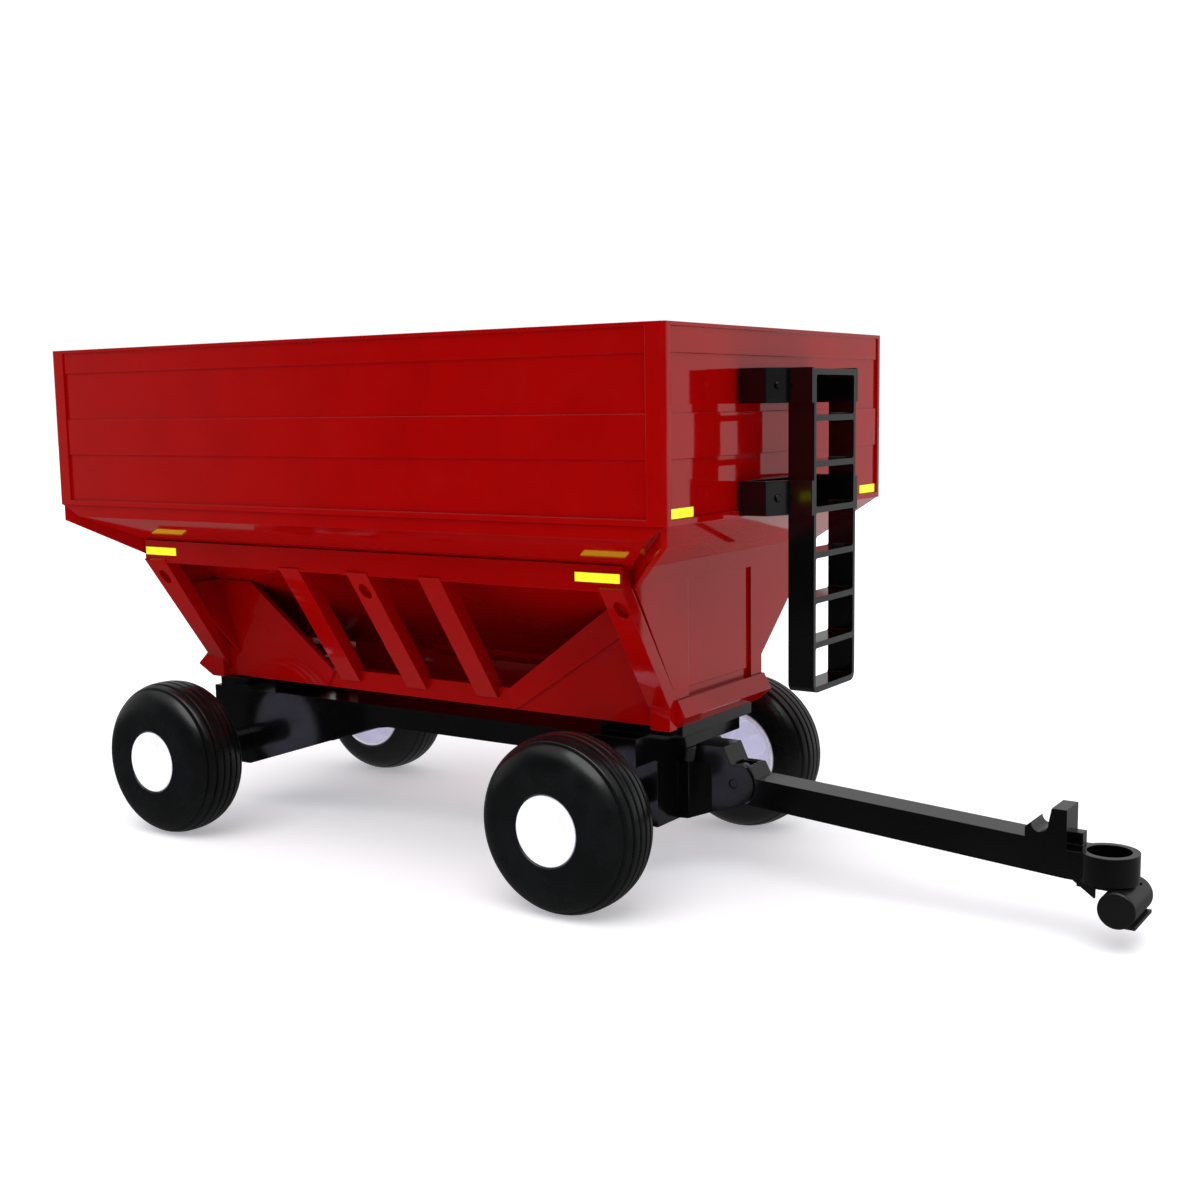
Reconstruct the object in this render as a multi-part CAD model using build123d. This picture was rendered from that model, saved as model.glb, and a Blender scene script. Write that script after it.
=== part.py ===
from build123d import *
import os
from math import atan, cos, degrees, hypot, radians, sin

# A 1:16 toy gravity wagon: an open grain bin over a funnel hopper, on a four-wheel
# running gear with a steered front axle, a tilting tongue and a sliding discharge door.
# Millimetres. +X points to the hitch, +Y to the wagon's left, +Z up, ground at Z = 0.
# Lengths along X are laid out from the middle of the bin, and every piece is moved at
# the end so that the frame's origin is under the middle of the overall length.

# ---------------------------------------------------------------- driving dimensions
bin_len = 274.4
bin_wid = 152.0
bin_bottom = 127.2
bin_top = 185.8
bin_wall = 2.4
bin_corner_r = 1.6
post_len = 6.7          # corner post width along the long sides
post_wid = 3.0          # corner post width along the ends
band_edges = (129.0, 146.4, 159.6, 177.0, 184.6)
band_insets = (0.9, 0.5, 0.9, 0.5)

hopper_wall = 1.8
hopper_inset = 0.8      # the hopper stands in from the bin's lower edge
floor_slope = 0.611     # rise over run of the long floor that falls to the left
floor_edge_z = 122.8    # where the floor meets the right-hand skirt
left_slope = 0.85
left_skirt_z = 111.8
front_panel_x = 112.3
rear_panel_x = -104.0
panel_top_z = 111.5
panel_foot_z = 66.3
panel_low_z = 69.3
slot_depth = 1.5
plate_t = 1.8
rib_t = 1.0
rib_in = 21.6
rib_out = 29.6
panel_band_z = 105.3
web_drop = 6.0          # depth of the corner webs under the hopper's right-hand hips
web_t = 1.8

rail_y = -61.0          # outer face of the right-hand top rail
rail_low_z = 105.0
rail_high_z = 113.4
rail_t = 5.0
rail_rear_x = -107.0
foot_y = -34.0          # outer face of the right-hand end feet
sill_y = -30.4          # outer face of the right-hand bottom rail
foot_low_z = 57.0
foot_high_z = 64.4
foot_t = 6.0
end_foot_w = 7.4
end_foot_z = 70.0
post_foot_z = 60.4
dimple_z = 99.0
post_depth = 5.0
post_w = 9.4
post_xs = (-30.0, 2.6, 35.2)
end_post_w = 8.4
gusset_t = 1.6
brace_step = 1.0        # how far the brace stands out of its gusset

beam_low_z = 56.5
beam_nose = 3.6
rear_beam_nose = 6.8
beam_nose_z = 60.8
beam_back = 3.0
beam_half = 30.2

keel_y = 19.0           # a keel plate closes the space between the hopper's floor and the chassis
keel_rear_x = -74.0
keel_front_x = 78.5

chute_mid_x = 2.5
chute_wid = 60.0
chute_wall = 1.6
chute_reach_y = 50.0
chute_side_h = 9.0
door_opening = 16.0
door_t = 1.6
door_travel = 16.0
door_gap = 0.15
guide_lip = 1.4

ladder_stand = 20.8      # the ladder's front face stands this far off the bin
ladder_depth = 8.8
ladder_near_y = -22.5
ladder_wid = 30.5
ladder_low_z = 71.5
ladder_high_z = 172.5
ladder_t = 1.6
rung_t = 1.9
rung_count = 8
ladder_corner_r = 3.0
bracket_zs = ((162.1, 172.9), (127.6, 138.3))
bracket_t = 1.5
bracket_spread = 10.0   # how far the wall arms stand outside the ladder
bracket_arm = 9.3
rivet_r = 1.3

wheel_r = 29.4
wheel_w = 23.9
wheel_mid_y = 60.65
shoulder_r = 6.0
tread_grooves = 6
groove_w = 1.1
groove_d = 1.0
face_hole_r = 11.6      # the tyre's opening on the outer side
back_hole_r = 17.4      # the tyre's opening on the inner side
rim_wall = 1.6
hub_r = 4.2
axle_r = 2.0
run_gap = 0.06          # radial running clearance of shafts
rear_axle_x = -96.4
front_axle_x = 89.3
axle_z = wheel_r

chassis_half = 25.0
chassis_wall = 2.2
chassis_low_z = 19.5
chassis_beam_z = 42.5
chassis_top_z = 50.5
chassis_rear_x = -112.0
housing_r = 4.8
housing_half = 46.5

bolster_front_x = 100.0
bolster_len = 21.5
bolster_half = 35.5
bolster_low_z = 43.5
bolster_high_z = 53.0
king_r = 3.0
steer_gap = 0.4
carrier_half = 22.0
carrier_low_z = 20.0

yoke_half = 6.2
yoke_root_half = 9.0
yoke_top_z = 46.6
yoke_flat_z = 40.6
yoke_low_z = 27.8
hinge_x = 120.2
hinge_z = 34.2
knuckle_half = 2.6
knuckle_r = 6.0
cheek_r = 7.8
side_gap = 0.3
pin_r = 1.5

tongue_half = 5.8
tongue_h = 10.6
tongue_root_low_z = 27.9
tongue_end_x = 233.0
tongue_end_low_z = 19.6
eye_x = 244.2
eye_outer_r = 8.9
eye_bore_r = 6.6
eye_high_z = 28.4
saddle_x = 220.4
saddle_post_z = 40.6

barrel_r = 5.6
barrel_half = 10.5
barrel_x = 249.2
adapter_gap = 0.3

reflector_t = 0.3
reflector_len = 16.6
reflector_h = 2.9
end_reflector_len = 12.6

screw_r = 1.2
screw_head_r = 2.3
screw_head_h = 1.2

# ---------------------------------------------------------------- derived places
half_len = bin_len / 2
ladder_front_x = half_len + ladder_stand
half_wid = bin_wid / 2
hopper_half = half_wid - hopper_inset
hopper_end = half_len - hopper_inset
barrel_z = tongue_end_low_z - adapter_gap - barrel_r
adapter_front_x = barrel_x + barrel_r
frame_mid_x = (adapter_front_x - half_len) / 2
rail_front_x = front_panel_x
truss_run = (foot_y - rail_y) / (rail_low_z - foot_high_z)


def floor_z(y):
    """Height of the hopper floor's underside at a place across the wagon."""
    return floor_edge_z - (y + hopper_half) * floor_slope


def left_z(y):
    """Height of the left slope's outer face."""
    return left_skirt_z - (hopper_half - y) * left_slope


valley_y = (floor_edge_z - hopper_half * floor_slope - left_skirt_z + hopper_half * left_slope)
valley_y = valley_y / (floor_slope + left_slope)
valley_z = floor_z(valley_y)
left_run = hypot(1.0, left_slope)
left_dir = (0.0, 1.0 / left_run, left_slope / left_run)
left_out = (0.0, left_slope / left_run, -1.0 / left_run)


# ---------------------------------------------------------------- shape helpers
def block(x0, x1, y0, y1, z0, z1):
    """A box between two corners."""
    return Pos((x0 + x1) / 2, (y0 + y1) / 2, (z0 + z1) / 2) * Box(x1 - x0, y1 - y0, z1 - z0)


def slab_xz(points, y0, y1):
    """A side-view outline given thickness across the wagon."""
    plane = Plane(origin=(0, y1, 0), x_dir=(1, 0, 0), z_dir=(0, -1, 0))
    return extrude(plane * Polygon(*points, align=None), amount=y1 - y0, dir=(0, -1, 0))


def slab_yz(points, x0, x1):
    """An end-view outline given thickness along the wagon."""
    plane = Plane(origin=(x0, 0, 0), x_dir=(0, 1, 0), z_dir=(1, 0, 0))
    return extrude(plane * Polygon(*points, align=None), amount=x1 - x0, dir=(1, 0, 0))


def slab_xy(points, z0, z1):
    """A plan outline given height."""
    plane = Plane.XY.offset(z0)
    return extrude(plane * Polygon(*points, align=None), amount=z1 - z0, dir=(0, 0, 1))


def rod_y(x, z, radius, y0, y1):
    """A round bar across the wagon."""
    return Pos(x, (y0 + y1) / 2, z) * Rot(90, 0, 0) * Cylinder(radius, y1 - y0)


def rod_z(x, y, radius, z0, z1):
    """A round bar standing up."""
    return Pos(x, y, (z0 + z1) / 2) * Cylinder(radius, z1 - z0)


def rod_x(y, z, radius, x0, x1):
    """A round bar along the wagon."""
    return Pos((x0 + x1) / 2, y, z) * Rot(0, 90, 0) * Cylinder(radius, x1 - x0)


def save(name, shape):
    """Write one node, moved into the wagon's frame."""
    moved = Pos(-frame_mid_x, 0, 0) * shape
    export_step(moved, f"parts/{name}.step")


# ---------------------------------------------------------------- bin
def make_bin():
    """Four-wall grain box, open top and bottom, with corner posts and stepped bands."""
    outer = block(-half_len, half_len, -half_wid, half_wid, bin_bottom, bin_top)
    outer = fillet(outer.edges().filter_by(Axis.Z), bin_corner_r)
    inner_x = half_len - bin_wall
    inner_y = half_wid - bin_wall
    shell = outer - block(-inner_x, inner_x, -inner_y, inner_y, bin_bottom - 1, bin_top + 1)
    for low, high, inset in zip(band_edges, band_edges[1:], band_insets):
        panel_x = half_len - post_len
        panel_y = half_wid - post_wid
        for side in (-1, 1):
            y0, y1 = sorted((side * (half_wid - inset), side * (half_wid + 1)))
            x0, x1 = sorted((side * (half_len - inset), side * (half_len + 1)))
            shell -= block(-panel_x, panel_x, y0, y1, low, high)
            shell -= block(x0, x1, -panel_y, panel_y, low, high)
    return shell


# ---------------------------------------------------------------- hopper
def funnel(inset, raise_top):
    """The hopper's solid form: a cross-section and a side view, both cut in by inset."""
    top = bin_bottom + raise_top
    across = Polygon((-hopper_half, top), (-hopper_half, floor_edge_z), (valley_y, valley_z),
                     (hopper_half, left_skirt_z), (hopper_half, top), align=None)
    along = Polygon((-hopper_end, top), (-hopper_end, bin_bottom), (rear_panel_x, panel_top_z),
                    (rear_panel_x, valley_z - 5), (front_panel_x, valley_z - 5),
                    (front_panel_x, panel_top_z), (hopper_end, bin_bottom), (hopper_end, top), align=None)
    if inset > 0:
        across = offset(across, amount=-inset, kind=Kind.INTERSECTION)
        along = offset(along, amount=-inset, kind=Kind.INTERSECTION)
    end_view = Plane(origin=(-half_len, 0, 0), x_dir=(0, 1, 0), z_dir=(1, 0, 0))
    side_view = Plane(origin=(0, half_wid, 0), x_dir=(1, 0, 0), z_dir=(0, -1, 0))
    one = extrude(end_view * across, amount=bin_len, dir=(1, 0, 0))
    other = extrude(side_view * along, amount=bin_wid, dir=(0, -1, 0))
    return one & other


def hip_web(start, end, low_start, low_end):
    """An upright web under a hopper hip, between two plan points."""
    length = hypot(end[0] - start[0], end[1] - start[1])
    along = ((end[0] - start[0]) / length, (end[1] - start[1]) / length, 0)
    plane = Plane(origin=(start[0], start[1], 0), x_dir=along, z_dir=(along[1], -along[0], 0))
    rise = 1 if plane.y_dir.Z > 0 else -1
    points = ((0, rise * low_start), (length, rise * low_end),
              (length, rise * (low_end + web_drop)), (0, rise * (low_start + web_drop)))
    return extrude(plane * Polygon(*points, align=None), amount=web_t / 2, both=True)


def end_plate(face_x, outward):
    """The flat end wall: a skin from the right-hand posts to the left slope."""
    near_top = (truss_inner_y(panel_top_z - 3), panel_top_z)
    outline = (near_top, (truss_inner_y(panel_foot_z), panel_foot_z), (rib_out, panel_foot_z),
               (rib_out, left_z(rib_out)), (hopper_half, left_skirt_z))
    return slab_yz(outline, *sorted((face_x - outward * plate_t, face_x)))


def end_recess(face_x, outward):
    """What is cut from an end wall between its two ribs: a shallow panel and a slot at its foot."""
    panel = sorted((face_x - outward * rib_t, face_x + outward))
    slot = sorted((face_x - outward * slot_depth, face_x + outward))
    cut = block(*panel, -rib_in, rib_in, panel_low_z, panel_band_z)
    return cut + block(*slot, -rib_in, rib_in, panel_foot_z, panel_low_z)


def truss_inner_y(z):
    """Across-wagon place of the right-hand truss posts' back at a height."""
    lean = hypot(1.0, truss_run)
    return rail_y + (rail_low_z - z) * truss_run + post_depth * lean


def make_hopper(side_frame):
    """Funnel shell with flat end walls, corner webs and the discharge opening."""
    shell = funnel(0, 10) - funnel(hopper_wall, 30)
    shell &= block(-half_len, half_len, -half_wid, half_wid, 0, bin_bottom)
    opening = block(chute_mid_x - chute_wid / 2 + 4, chute_mid_x + chute_wid / 2 - 4,
                    0.8, door_opening, -4, 4)
    slope = Plane(origin=(0, valley_y, valley_z), x_dir=(1, 0, 0), z_dir=left_out)
    shell -= slope.location * opening.mirror(Plane.XZ) if slope.y_dir.Z < 0 else slope.location * opening
    shell += end_plate(front_panel_x, 1)
    shell += end_plate(rear_panel_x, -1)
    shell -= end_recess(front_panel_x, 1) + end_recess(rear_panel_x, -1)
    run = (hopper_end - front_panel_x)
    drop = bin_bottom - panel_top_z
    shell += hip_web((hopper_end - 0.6, -hopper_half + 0.6), (front_panel_x - 1, rail_y + 7.8),
                     bin_bottom - web_drop, bin_bottom - web_drop - drop * (run + 1) / run)
    rear_run = (hopper_end + rear_panel_x)
    shell += hip_web((-hopper_end + 0.6, -hopper_half + 0.6), (rear_panel_x - 1.5, rail_y + 4),
                     bin_bottom - web_drop, bin_bottom - web_drop - drop * (rear_run - 1.5) / rear_run)
    shell &= block(-half_len, half_len, -half_wid, half_wid, 0, bin_bottom)
    return shell - side_frame


# ---------------------------------------------------------------- frames under the hopper
def truss_slab(points, depth, setback=0.0):
    """An outline in the leaning plane of the right-hand truss; points are (x, height)."""
    lean = hypot(1.0, truss_run)
    outward = (0, -1 / lean, -truss_run / lean)
    plane = Plane(origin=(0, rail_y, rail_low_z), x_dir=(1, 0, 0), z_dir=outward)
    flat = [(x, (z - rail_low_z) * lean) for x, z in points]
    slab = extrude(plane * Polygon(*flat, align=None), amount=depth, dir=tuple(-c for c in outward))
    return Pos(0, setback / lean, setback * truss_run / lean) * slab


def gusset(mid, toward, end_x):
    """An upright corner plate with a raised brace along its slanted edge; the rear has a leaning web."""
    def at(pairs):
        return tuple((mid + toward * run, z) for run, z in pairs)

    high_z = floor_z(sill_y)
    back = sill_y + gusset_t
    end = end_x - plate_t * toward
    plate = ((end, high_z), *at(((84.6, high_z), (42.6, foot_high_z), (41.4, 62.8), (45.0, foot_low_z))),
             (end, foot_low_z))
    brace = at(((84.6 + 6.0, high_z), (84.6, high_z), (42.6, foot_high_z), (41.4, 62.8), (45.0, foot_low_z),
                (90.0, 86.4), (98.0, 91.6), (98.0, high_z)))
    web = at(((103.0, high_z), (88.8, foot_low_z), (90.6, foot_low_z), (104.8, high_z)))
    shape = slab_xz(plate, sill_y, back) + slab_xz(brace, sill_y - brace_step, back)
    if toward > 0:
        return shape
    lean_room = truss_slab(((-200, foot_low_z), (200, foot_low_z), (200, rail_low_z), (-200, rail_low_z)),
                           40, post_depth - 1)
    return shape + (slab_xz(web, rail_y, sill_y + 0.5) & lean_room)


def make_side_frame_right(beams):
    """Top rail, sill, five leaning posts, feet and two corner gussets."""
    chamfer_y = -hopper_half + (floor_edge_z - rail_high_z) / floor_slope
    back_y = rail_y + rail_t
    rail = ((rail_y, rail_low_z), (rail_y, rail_high_z), (chamfer_y, rail_high_z),
            (back_y, floor_z(back_y)), (back_y, rail_low_z))
    frame = slab_yz(rail, rail_rear_x, rail_front_x)
    frame += block(rear_panel_x, rail_front_x - 1, sill_y, sill_y + foot_t, foot_low_z, foot_high_z)
    front_inner = rail_front_x - end_post_w
    rear_inner = rear_panel_x + end_post_w
    spans = [(mid - post_w / 2, mid + post_w / 2, mid - post_w / 2, mid + post_w / 2) for mid in post_xs]
    spans.append((front_inner, rail_front_x, front_inner, rail_front_x))
    spans.append((rear_panel_x, rear_inner, rail_rear_x, rear_inner))
    for low_a, low_b, high_a, high_b in spans:
        frame += truss_slab(((low_a, post_foot_z), (low_b, post_foot_z), (high_b, rail_low_z + 1),
                             (high_a, rail_low_z + 1)), post_depth)
    for x0, x1 in ((rear_panel_x, rear_panel_x + end_foot_w), (rail_front_x - end_foot_w, rail_front_x)):
        frame += block(x0, x1, foot_y, sill_y + 1, beam_low_z, end_foot_z)
    mid = post_xs[1]
    frame += gusset(mid, 1, rail_front_x)
    frame += gusset(mid, -1, rear_panel_x)
    lean = hypot(1.0, truss_run)
    for x in (mid, rail_front_x - end_post_w / 2 + 0.9, rail_rear_x + 5.9):
        dimple = Plane(origin=(x, rail_y + (rail_low_z - dimple_z) * truss_run, dimple_z),
                       x_dir=(1, 0, 0), z_dir=(0, -1 / lean, -truss_run / lean))
        frame -= extrude(dimple * Ellipse(2.5, 3.4), amount=2.0, both=True)
    for beam in beams:
        frame -= beam
    frame -= block(rear_panel_x - 1, rear_panel_x + beam_back, foot_y, beam_half, 0, beam_nose_z)
    return frame - funnel(0, 10)


def make_cross_beam(face_x, outward, nose, near_y):
    """A chevron-nosed beam that closes the hopper's foot at one end."""
    back = face_x - outward * beam_back
    points = ((back, panel_foot_z), (face_x + outward * 0.8, panel_foot_z),
              (face_x + outward * nose, beam_nose_z), (face_x - outward * 1.2, beam_low_z),
              (back, beam_low_z))
    return slab_xz(points, near_y, beam_half)


def make_side_rails_left(hopper, chute):
    """Two short sills with props that carry the hopper's left side beside the chute."""
    y0 = beam_half - foot_t
    clear = chute_wid / 2 + 4
    rails = block(rear_panel_x + beam_back, chute_mid_x - clear, y0, beam_half, foot_low_z, foot_high_z - 3)
    rails += block(chute_mid_x + clear, front_panel_x - beam_back, y0, beam_half, foot_low_z, foot_high_z - 3)
    for x in (-88.0, -44.0, 52.0, 92.0):
        rails += block(x - 4, x + 4, y0, beam_half, foot_high_z - 3, left_z(beam_half) + 4)
    rails += block(keel_rear_x, keel_front_x, keel_y, keel_y + hopper_wall, chassis_top_z, valley_z + 6)
    cavity = funnel(0, 10)
    return rails - cavity - hopper - chute


# ---------------------------------------------------------------- discharge chute and door
def on_left_slope(shape):
    """Lay a flat piece on the left slope: its x along the wagon, y up the slope, z outward."""
    plane = Plane(origin=(0, valley_y, valley_z), x_dir=(-1, 0, 0), z_dir=left_out)
    if plane.y_dir.Z < 0:
        plane = Plane(origin=(0, valley_y, valley_z), x_dir=(1, 0, 0), z_dir=left_out)
        return plane.location * mirror(shape, Plane.XZ)
    return plane.location * mirror(shape, Plane.YZ)


def make_chute(hopper):
    """An open trough that carries the hopper's floor on past the door."""
    x0 = chute_mid_x - chute_wid / 2
    x1 = chute_mid_x + chute_wid / 2
    lean = hypot(1.0, floor_slope)
    rise = hopper_wall * lean
    start_y = valley_y - 6
    end_z = floor_z(chute_reach_y)
    trough = slab_yz(((start_y, floor_z(start_y) - 2), (chute_reach_y, end_z - 2),
                      (chute_reach_y, end_z + rise), (start_y, floor_z(start_y) + rise)), x0, x1)
    side = ((valley_y - 2, floor_z(valley_y - 2)), (chute_reach_y, end_z),
            (chute_reach_y - 2, end_z + chute_side_h), (valley_y + 16, left_z(valley_y + 16)),
            (valley_y, valley_z))
    trough += slab_yz(side, x0, x0 + chute_wall)
    trough += slab_yz(side, x1 - chute_wall, x1)
    return trough - funnel(0, 10) - hopper


def make_door():
    """A flat door that slides up the left slope, with a pull tab."""
    half = chute_wid / 2 - chute_wall - 0.4
    low = 3.6
    high = door_opening + 4
    door = block(chute_mid_x - half, chute_mid_x + half, low, high, door_gap, door_gap + door_t)
    door += block(chute_mid_x - 9, chute_mid_x + 9, high - 4, high - 2, door_gap, door_gap + 6)
    return on_left_slope(door)


def make_door_guides():
    """Two hooked strips that hold the door's edges against the slope."""
    half = chute_wid / 2
    low = 21.5
    high = low + door_travel + 2
    cap = door_gap + door_t + 0.25
    guides = None
    for side in (-1, 1):
        x0, x1 = sorted((chute_mid_x + side * half, chute_mid_x + side * (half - chute_wall)))
        c0, c1 = sorted((chute_mid_x + side * half, chute_mid_x + side * (half - chute_wall - 3)))
        strip = block(x0, x1, low, high, 0, cap + guide_lip)
        strip += block(c0, c1, low, high, cap, cap + guide_lip)
        guides = strip if guides is None else guides + strip
    return on_left_slope(guides)


# ---------------------------------------------------------------- ladder
def make_ladder():
    """One moulded frame: two plate rails and evenly spaced plate rungs."""
    x0 = ladder_front_x - ladder_depth
    y1 = ladder_near_y + ladder_wid
    frame = block(x0, ladder_front_x, ladder_near_y, y1, ladder_low_z, ladder_high_z)
    low_edges = frame.edges().filter_by(Axis.X).sort_by(Axis.Z)[:2]
    frame = fillet(low_edges, ladder_corner_r)
    pitch = (ladder_high_z - ladder_low_z - rung_t) / (rung_count - 1)
    for bay in range(rung_count - 1):
        low = ladder_low_z + rung_t + bay * pitch
        hole = block(x0 - 1, ladder_front_x + 1, ladder_near_y + ladder_t, y1 - ladder_t,
                     low, low + pitch - rung_t)
        frame -= fillet(hole.edges().filter_by(Axis.X), 0.8)
    return frame


def make_bracket(low, high):
    """A wall plate with two cranked arms that clasp the ladder's rails from outside."""
    wall_x = half_len
    knee_x = wall_x + bracket_arm
    back_x = ladder_front_x - ladder_depth
    near = ladder_near_y
    far = ladder_near_y + ladder_wid
    bracket = block(wall_x, wall_x + bracket_t, near - bracket_spread, far + bracket_spread, low, high)
    for edge, out in ((near, -1), (far, 1)):
        outer = edge + out * bracket_spread
        inner = outer - out * bracket_t
        grip = edge + out * bracket_t
        arm = ((wall_x, outer), (knee_x, outer), (back_x + bracket_t, grip), (ladder_front_x, grip),
               (ladder_front_x, edge), (back_x - 0.5, edge), (knee_x - bracket_t, inner), (wall_x, inner))
        bracket += slab_xy(arm, low, high)
    return bracket


def crank_frame(edge, out):
    """Middle and outward direction of a bracket arm's slanted face, in plan."""
    knee = (half_len + bracket_arm, edge + out * bracket_spread)
    heel = (ladder_front_x - ladder_depth + bracket_t, edge + out * bracket_t)
    length = hypot(heel[0] - knee[0], heel[1] - knee[1])
    mid = ((knee[0] + heel[0]) / 2, (knee[1] + heel[1]) / 2)
    return mid, ((heel[1] - knee[1]) / length * -out, (heel[0] - knee[0]) / length * out)


def make_ladder_rivets():
    """Four dome heads, one on each bracket arm's slanted face."""
    rivets = None
    for low, high in bracket_zs:
        for edge, out in ((ladder_near_y, -1), (ladder_near_y + ladder_wid, 1)):
            mid, normal = crank_frame(edge, out)
            plane = Plane(origin=(mid[0], mid[1], (low + high) / 2), z_dir=(normal[0], normal[1], 0))
            dome = plane.location * (Sphere(rivet_r) & block(-9, 9, -9, 9, 0, rivet_r * 0.55))
            rivets = dome if rivets is None else rivets + dome
    return rivets


# ---------------------------------------------------------------- running gear
def make_chassis():
    """An inverted channel, deep at the rear axle and shallow ahead of it."""
    front_x = bolster_front_x - bolster_len
    side = ((chassis_rear_x, chassis_low_z), (rear_axle_x + 3, chassis_low_z), (-41.0, 36.2),
            (-26.0, 41.2), (-18.0, chassis_beam_z), (front_x, chassis_beam_z),
            (front_x, chassis_top_z), (chassis_rear_x, chassis_top_z))
    frame = None
    for out in (-1, 1):
        y0, y1 = sorted((out * chassis_half, out * (chassis_half - chassis_wall)))
        plate = slab_xz(side, y0, y1)
        frame = plate if frame is None else frame + plate
    inner = chassis_half - chassis_wall
    frame += block(chassis_rear_x, front_x, -inner, inner, chassis_top_z - chassis_wall, chassis_top_z)
    frame += block(chassis_rear_x, chassis_rear_x + chassis_wall, -inner, inner, chassis_low_z + 4, chassis_top_z)
    for x in (-60.0, -10.0, 40.0):
        frame += block(x - 1, x + 1, -inner, inner, chassis_beam_z, chassis_top_z)
    frame -= rod_y(rear_axle_x, axle_z, housing_r, -chassis_half - 1, chassis_half + 1)
    for x, y in rear_screw_places():
        frame -= rod_z(x, y, screw_r, chassis_low_z, chassis_top_z + 1)
    return frame


def rear_screw_places():
    """Plan places of the screws that hold the rear bolster down."""
    return [(x, y) for x in (-98.0, -82.0) for y in (-15.0, 15.0)]


def make_rear_bolster():
    """A stepped saddle between the chassis and the hopper's rear feet."""
    bolster = block(-106, -75, -27, 27, chassis_top_z, beam_low_z)
    bolster += block(-96, -84, foot_y + 1, 27, beam_low_z - 3, beam_low_z)
    for x, y in rear_screw_places():
        bolster -= rod_z(x, y, screw_r, 0, beam_low_z - 1.5)
    return bolster


def make_axle_housing():
    """The rear axle's tube."""
    tube = rod_y(rear_axle_x, axle_z, housing_r, -housing_half, housing_half)
    return tube - rod_y(rear_axle_x, axle_z, axle_r + run_gap, -wheel_mid_y, wheel_mid_y)


def make_axle(x):
    """A plain steel rod."""
    half = wheel_mid_y + wheel_w / 2 - 3.4
    return rod_y(x, axle_z, axle_r, -half, half)


def make_front_bolster():
    """The block that carries the hopper's front and holds the king pin."""
    rear_x = bolster_front_x - bolster_len
    block_ = block(rear_x, bolster_front_x, -bolster_half, bolster_half, bolster_low_z, bolster_high_z)
    block_ += block(rear_x + 2, bolster_front_x, -27, 27, bolster_high_z, beam_low_z)
    block_ += block(rear_x - 14, rear_x, -12, 12, bolster_low_z + 1, chassis_top_z - chassis_wall)
    block_ += block(bolster_front_x, front_panel_x - 1.2, -24, 24, beam_low_z - 4, beam_low_z)
    return block_ - rod_z(front_axle_x, 0, king_r, 0, bolster_high_z)


def make_king_pin():
    """The steering pin: pressed into the bolster, running in the carrier."""
    return rod_z(front_axle_x, 0, king_r, axle_z + 5, bolster_high_z)


def make_carrier():
    """Front axle carrier: axle block with tubes, and the yoke with the tongue's knuckle."""
    rear_x = bolster_front_x - bolster_len + 0.6
    top = bolster_low_z - steer_gap
    body = block(rear_x, bolster_front_x, -carrier_half, carrier_half, carrier_low_z, top)
    body += rod_y(front_axle_x, axle_z, housing_r, -housing_half, housing_half)
    tip_x = hinge_x + cheek_r
    root = ((bolster_front_x, carrier_low_z + 0.4), (104.0, carrier_low_z + 0.6), (tip_x - 3.0, yoke_low_z),
            (tip_x, yoke_low_z), (tip_x, yoke_flat_z), (bolster_front_x, yoke_flat_z))
    plan = ((bolster_front_x - 1, -yoke_root_half), (104.5, -yoke_root_half), (112.0, -yoke_half),
            (tip_x, -yoke_half), (tip_x, yoke_half), (112.0, yoke_half), (104.5, yoke_root_half),
            (bolster_front_x - 1, yoke_root_half))
    yoke = slab_xz(root, -yoke_root_half, yoke_root_half) & slab_xy(plan, 0, 80)
    yoke -= block(hinge_x, tip_x + 9, -9, 9, 0, 80) - rod_y(hinge_x, hinge_z, cheek_r, -9, 9)
    tower = ((104.7, 39.0), (106.1, yoke_top_z), (116.6, yoke_top_z), (119.4, yoke_flat_z), (119.4, 39.0))
    yoke += slab_xz(tower, -yoke_half, yoke_half)
    slot = knuckle_half + side_gap
    yoke -= rod_y(hinge_x, hinge_z, knuckle_r + side_gap, -slot, slot)
    yoke -= block(hinge_x, tip_x + 1, -slot, slot, 0, 80)
    yoke -= block(hinge_x - 1.0, tip_x + 1, -slot, slot, hinge_z, 80)
    body += yoke
    body -= rod_y(hinge_x, hinge_z, pin_r + run_gap, -20, 20)
    body -= rod_y(front_axle_x, axle_z, axle_r + run_gap, -wheel_mid_y, wheel_mid_y)
    return body - rod_z(front_axle_x, 0, king_r + run_gap, axle_z + 4, bolster_high_z)


def make_tongue_pin():
    """The pin of the tongue's hinge."""
    return rod_y(hinge_x, hinge_z, pin_r, -yoke_half + 0.4, yoke_half - 0.4)


def make_hitch_eye():
    """The round eye at the tongue's end, with a short horn behind it."""
    eye = block(tongue_end_x, eye_x, -tongue_half, tongue_half, tongue_end_low_z, eye_high_z)
    eye += block(tongue_end_x, tongue_end_x + 2.8, 1.6, tongue_half, eye_high_z, eye_high_z + 3.8)
    eye += rod_z(eye_x, 0, eye_outer_r, tongue_end_low_z, eye_high_z)
    return eye - rod_z(eye_x, 0, eye_bore_r, 0, 60)


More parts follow.
